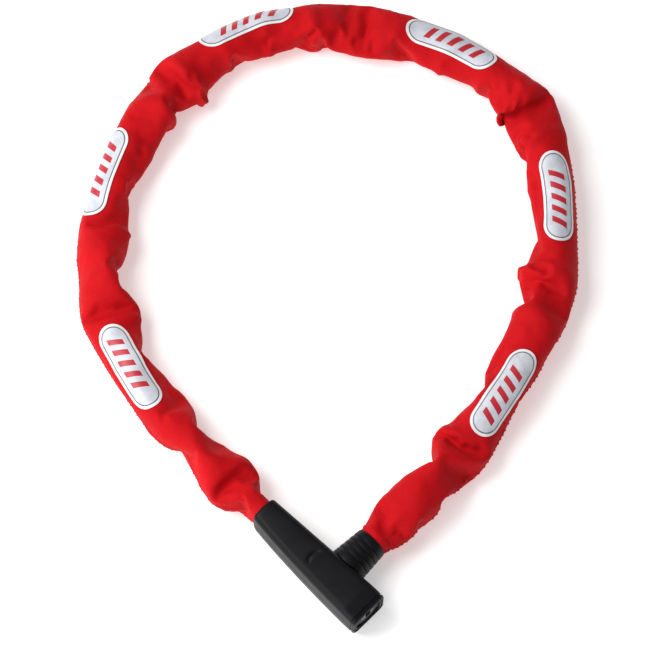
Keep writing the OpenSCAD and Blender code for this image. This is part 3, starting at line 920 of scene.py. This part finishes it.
def rod(start, end, radius):
    """A round bar between two points, used as a cutter."""
    axis = unit(end - start)
    side = unit(np.cross(axis, UP if abs(axis @ UP) < 0.9 else OUT))
    count = 64
    turn = np.linspace(0, 2 * np.pi, count, endpoint=False)
    ring = radius * (np.cos(turn)[:, None] * side + np.sin(turn)[:, None] * np.cross(axis, side))
    points = np.concatenate([start + ring, end + ring])
    faces = grid_faces(2, count, 0, around=True)
    faces += [tuple(range(count)), tuple(range(2 * count - 1, count - 1, -1))]
    return new_object("cutter", points, faces)


def widths(x):
    """The lock body's half widths at a place along it: straight on the bolt's side, bowed on the far side."""
    share = np.clip((x - TAIL_X) / (KEY_X - TAIL_X), 0, 1)
    grow = BOLT_SIDE_W - TAIL_HALF_W
    return TAIL_HALF_W + grow * share, TAIL_HALF_W + grow * math.sin(math.pi / 2 * share ** 0.8)


def arc(centre_y, centre_z, radius, first, last, count):
    """Points of an arc between two angles in degrees."""
    angles = np.radians(np.linspace(first, last, count))
    return [(centre_y + radius * math.cos(a), centre_z + radius * math.sin(a)) for a in angles]


def half_section(near, far, top, near_round, far_round, lean=DRAFT, groove=PARTING_V):
    """Half a cross-section, as (across, up) points from the far side over the top to the bolt's side."""
    left, right = far_round - far + lean, near - near_round
    crown = [(left + (right - left) * t, top + CROWN * (1 - (2 * t - 1) ** 2)) for t in np.linspace(0, 1, 19)]
    low = PARTING_GAP + groove
    return np.array(
        [(groove - far, PARTING_GAP), (-far, low)]
        + arc(left, top - far_round, far_round, 180, 90, 12)[:-1] + crown
        + arc(right, top - near_round, near_round, 90, 0, 9)[1:]
        + [(near, low), (near - groove, PARTING_GAP)]
    )


def body_section(x, inset=0.0, drop=0.0):
    """The casing's half section at a place along it, drawn in all round and lowered at the top."""
    near, far = widths(x)
    rounds = max(NEAR_ROUND - inset, 0.6 * MM), max(FAR_ROUND - inset, 0.6 * MM)
    return x, half_section(near - inset, far - inset, HALF_H - CROWN - inset - drop, *rounds)


def mouth_section(x, grow=0.0):
    """The half section of the tail's opening, which the sleeve comes out of."""
    half_w, half_h = SLOT_HALF[0] + grow, SLOT_HALF[1] + grow
    rounds = (half_w - 0.1 * MM,) * 2
    return x, half_section(half_w, half_w, half_h, *rounds, lean=0, groove=0.05 * MM)


def crease(x, across):
    """Depth of the crescent-shaped thumb mark pressed into the top."""
    bowed = CREASE_X + CREASE_BOW * (across / CREASE_REACH) ** 2
    near = np.clip(1 - abs(x - bowed) / CREASE_HALF_W, 0, 1)
    inside = np.clip(1 - (across / CREASE_REACH) ** 4, 0, 1)
    return CREASE_DEPTH * ease(near) * inside


def casing_half(name, side, material):
    """Half of the moulded casing. The outline runs along the outside to the key end and back inside."""
    outer = [mouth_section(TAIL_X + 3 * MM), mouth_section(TAIL_X + 0.5 * MM)]
    outer += [mouth_section(TAIL_X, 0.4 * MM)]
    outer += [body_section(TAIL_X + lead * MM, inset * MM) for lead, inset in TAIL_PROFILE]
    outer += [body_section(x) for x in np.arange(TAIL_X + 2.3 * MM, KEY_X - 9.8 * MM, SECTION_STEP)]
    outer += [body_section(KEY_X - back * MM, inset * MM, drop * MM) for back, inset, drop in END_PROFILE]
    inner = [body_section(x, WALL) for x in np.linspace(KEY_X - 2.6 * MM, TAIL_X + 3.2 * MM, 12)]
    rows = []
    for number, (x, section) in enumerate(outer + inner):
        across, up = section[:, 0], section[:, 1].copy()
        if side > 0 and number < len(outer):
            up -= crease(x, across) * (up > HALF_H - 1 * MM)
        rows.append(x * ALONG + across[:, None] * OUT + side * up[:, None] * UP)
    piece = loft(name, np.array(rows), material, closed=False)
    cutters = [rod(*(place(0, y, 0) for y in SOCKET_Y), SOCKET_R)]
    if side < 0:
        cutters += [rod(*(place(x, 0, z) for z in SCREW_BORE_Z), SCREW_BORE_R) for x in SCREW_X]
    # The exact solver leaves nothing of the upper half
    cut_out(piece, cutters, "FAST" if side > 0 else "EXACT")
    moulded(piece, "lock_body", "casing_top" if side > 0 else "casing_bottom")


def bezel(material):
    """The plate at the key end: a raised rim of the body's outline round a sunk face and an opening."""
    def outline(back, inset):
        """A ring of the casing's outline, drawn in all round."""
        near, far = widths(KEY_X)
        rounds = NEAR_ROUND - inset / 2, FAR_ROUND - inset / 2
        top = HALF_H - CROWN - inset - END_DROP
        upper = half_section(near - inset, far - inset, top, *rounds, groove=0.05 * MM)
        ring = np.concatenate([upper, upper[::-1] * (1, -1)])
        return KEY_X - back, ring

    def circle(back, radius):
        """A round ring, with its points at the same angles as the outline's."""
        ring = outline(0, 3 * MM)[1]
        angle = np.arctan2(ring[:, 1], ring[:, 0])
        return KEY_X - back, radius * np.stack([np.cos(angle), np.sin(angle)], axis=1)

    rings = [outline(2.1 * MM, 1.6 * MM), outline(0.6 * MM, 1.6 * MM), outline(0.35 * MM, 1.8 * MM),
             outline(0.35 * MM, 2.5 * MM), outline(0.6 * MM, 2.7 * MM), outline(1.3 * MM, 2.9 * MM),
             circle(1.3 * MM, RECESS_R), circle(0.9 * MM, RECESS_R - 0.3 * MM),
             circle(0.8 * MM, RECESS_R - 0.6 * MM), circle(0.8 * MM, PLUG_R + 0.4 * MM),
             circle(1.0 * MM, PLUG_R), circle(2.1 * MM, PLUG_R)]
    grid = np.array([x * ALONG + ring[:, :1] * OUT + ring[:, 1:] * UP for x, ring in rings])
    piece = loft("end_plate", grid, material, closed=True)
    moulded(piece, "lock_body", "end_bezel")


def side_surface(x, z):
    """How far out the body's bolt side lies at a place along it and a height."""
    near = np.array([widths(value)[0] for value in x])
    above = np.maximum(abs(z) - (HALF_H - NEAR_ROUND), 0)
    return near - NEAR_ROUND + np.sqrt(NEAR_ROUND ** 2 - np.minimum(above, NEAR_ROUND) ** 2)


def collar(material):
    """The chain end's tapered collar with shallow grooves, whose foot follows the lock body's side."""
    def outer_r(y):
        """The collar's radius at a distance out along the bolt's axis."""
        return COLLAR_R + (COLLAR_END_R - COLLAR_R) * (y - COLLAR_Y) / (COLLAR_END_Y - COLLAR_Y)

    outline = [(outer_r(COLLAR_Y) - 0.5 * MM, COLLAR_Y),
               (outer_r(COLLAR_Y) - 0.1 * MM, COLLAR_Y + 0.1 * MM),
               (outer_r(COLLAR_Y), COLLAR_Y + 0.4 * MM)]
    for k in range(COLLAR_GROOVES):
        start = COLLAR_Y + FIRST_GROOVE + k * GROOVE_EVERY
        for step, depth in GROOVE_PROFILE:
            y = start + step * MM
            outline.append((outer_r(y) - depth * GROOVE_DEPTH, y))
    outline += [(outer_r(COLLAR_END_Y) + 0.05 * MM, COLLAR_END_Y - 1 * MM),
                (outer_r(COLLAR_END_Y) - 0.1 * MM, COLLAR_END_Y - 0.4 * MM),
                (outer_r(COLLAR_END_Y) - 0.5 * MM, COLLAR_END_Y - 0.05 * MM),
                (outer_r(COLLAR_END_Y) - 0.9 * MM, COLLAR_END_Y),
                (COLLAR_BORE_R, COLLAR_END_Y), (COLLAR_BORE_R, COLLAR_Y + 2 * MM),
                (BOLT_BORE_R, COLLAR_Y + 2 * MM), (BOLT_BORE_R, COLLAR_Y)]
    turn = np.linspace(0, 2 * np.pi, 96, endpoint=False)
    rows = []
    for radius, y in outline:
        x, z = radius * np.cos(turn), radius * np.sin(turn)
        foot = side_surface(x, z) + 0.25 * MM - COLLAR_Y
        fade = np.clip(1 - (y - COLLAR_Y) / (1.8 * MM), 0, 1)
        rows.append(x[:, None] * ALONG + (y + foot * fade)[:, None] * OUT + z[:, None] * UP)
    piece = loft("collar", np.array(rows), material, closed=True)
    moulded(piece, "bolt", "bolt_collar")


# ---- Parts carried over from the CAD ----


def finish(names, material, bevel=0.0):
    """Gives CAD parts that stay their material and slot, and rounds their machined edges a little."""
    for name in names:
        node = frame["nodes"][name]
        node.data.materials.clear()
        node.data.materials.append(material)
        if bevel:
            rounding = node.modifiers.new("edges", "BEVEL")
            rounding.width = bevel
            rounding.segments = 2
            rounding.limit_method = "ANGLE"
            rounding.angle_limit = math.radians(32)
            rounding.harden_normals = True


def carried_over():
    """The finishes of every CAD part that stays."""
    chain = metal("chain_steel", (0.55, 0.55, 0.53), (0.28, 0.28, 0.28), 0.32)
    hardened = metal("hardened_steel", (0.60, 0.60, 0.61), (0.36, 0.36, 0.38), 0.22, brushed=(12.0, 1.0, 1.0))
    steel = metal("steel", (0.50, 0.50, 0.52), (0.30, 0.30, 0.32), 0.3)
    plug = metal("plug_steel", (0.10, 0.10, 0.11), (0.05, 0.05, 0.06), 0.36)
    brass = metal("brass", (0.72, 0.52, 0.24), (0.45, 0.30, 0.12), 0.28)
    cast = metal("cast_zinc", (0.40, 0.40, 0.42), (0.22, 0.22, 0.24), 0.45, brushed=(1.0, 1.0, 1.0))
    finish([link_name(i) for i in LINKS], chain)
    finish(["lock_core"], cast)
    finish(["core_cover"], cast, 0.1 * MM)
    finish(["casing_screws"], steel, 0.15 * MM)
    finish(["cylinder_clip", "spacer_washers", "drive_cam"], steel)
    finish(["tail_sleeve_clamp", "collar_sleeve_clamp"], steel)
    finish(["cylinder_housing"], brass, 0.1 * MM)
    finish(["detainer_discs"], brass)
    finish(["disc_carrier"], plug, 0.1 * MM)
    finish(["sidebar"], steel)
    finish(["drill_guard", "locking_slider"], hardened)
    finish(["tail_anchor_pin", "collar_anchor_pin"], hardened, 0.2 * MM)
    finish(["end_bolt"], hardened, 0.15 * MM)


# ---- Studio ----

STUDIO_HALF = 2.5
LIGHTS = {  # place, size and power
    "overhead": ((-0.75, 0.25, 0.95), 0.9, 15.0),
    "front": ((-0.55, -0.55, 0.3), 0.35, 3.0),
}
SENSOR = 36.0
VIEW_CENTRE = Vector((0.0035, 0.1345, 0.0))
VIEW_DISTANCE = 1.2
VIEW_ELEVATION = math.radians(68)
VIEW_AZIMUTH = math.radians(-3)
VIEW_WIDTH = 0.331


def aim(name, data, where):
    """Puts a light or a camera somewhere, so that it faces the middle of the view."""
    thing = bpy.data.objects.new(name, data)
    thing.location = where
    thing.rotation_euler = (VIEW_CENTRE - thing.location).to_track_quat("-Z", "Y").to_euler()
    bpy.context.scene.collection.objects.link(thing)
    return thing


def studio():
    """A white floor, soft light from all round and two area lights, seen from above and in front."""
    floor_material = Nodes("studio_floor")
    grain = floor_material.noise(9.0, detail=3.0)
    pale = floor_material.ramp(grain, [(0.3, (0.93, 0.93, 0.93)), (0.7, (0.95, 0.95, 0.95))])
    floor_material.set(Base_Color=pale, Roughness=0.9, Specular_IOR_Level=0.0)
    floor_material.set(Emission_Color=pale, Emission_Strength=0.42)
    corners = [(x * STUDIO_HALF, y * STUDIO_HALF, FLOOR_Z) for x, y in ((-1, -1), (1, -1), (1, 1), (-1, 1))]
    floor = new_object("studio_floor", corners, [(0, 1, 2, 3)], floor_material.material)

    world = bpy.data.worlds.new("studio")
    world.use_nodes = True
    sky = world.node_tree.nodes["Background"].inputs
    sky["Color"].default_value = rgb(1.0, 1.0, 1.0)
    sky["Strength"].default_value = 0.3
    bpy.context.scene.world = world
    bpy.context.scene.view_settings.view_transform = "Standard"

    for name, (where, size, power) in LIGHTS.items():
        light = bpy.data.lights.new(name, "AREA")
        light.size = size
        light.energy = power
        aim(name, light, where)

    flat = math.cos(VIEW_ELEVATION)
    toward = Vector((flat * math.sin(VIEW_AZIMUTH), -flat * math.cos(VIEW_AZIMUTH), math.sin(VIEW_ELEVATION)))
    lens = bpy.data.cameras.new("camera")
    lens.sensor_width = SENSOR
    lens.lens = SENSOR * VIEW_DISTANCE / VIEW_WIDTH
    lens.clip_start = 0.01
    bpy.context.scene.camera = aim("camera", lens, VIEW_CENTRE + VIEW_DISTANCE * toward)


# ---- The whole lock ----

sleeve_grid = denser(settled)
sleeve_grid = smoothed(sleeve_grid, under_films(sleeve_grid, PATH_LENGTH), FILM_SMOOTHING)
sleeve_grid = clear_of_metal(sleeve_grid)
sleeve_normals = ring_normals(sleeve_grid)
sleeve_rows = sleeve_cuts(sleeve_grid)
textile = red_textile()
sleeve_parts(sleeve_grid, sleeve_normals, sleeve_rows, textile)
seam_parts(sleeve_grid, sleeve_rows, textile)
stitch_parts(sleeve_grid, sleeve_normals, sleeve_rows, red_thread())
films(sleeve_grid, sleeve_rows, PATH_LENGTH, reflective_film())
plastic = black_plastic()
casing_half("upper_shell", 1, plastic)
casing_half("lower_shell", -1, plastic)
bezel(plastic)
collar(plastic)
carried_over()
studio()
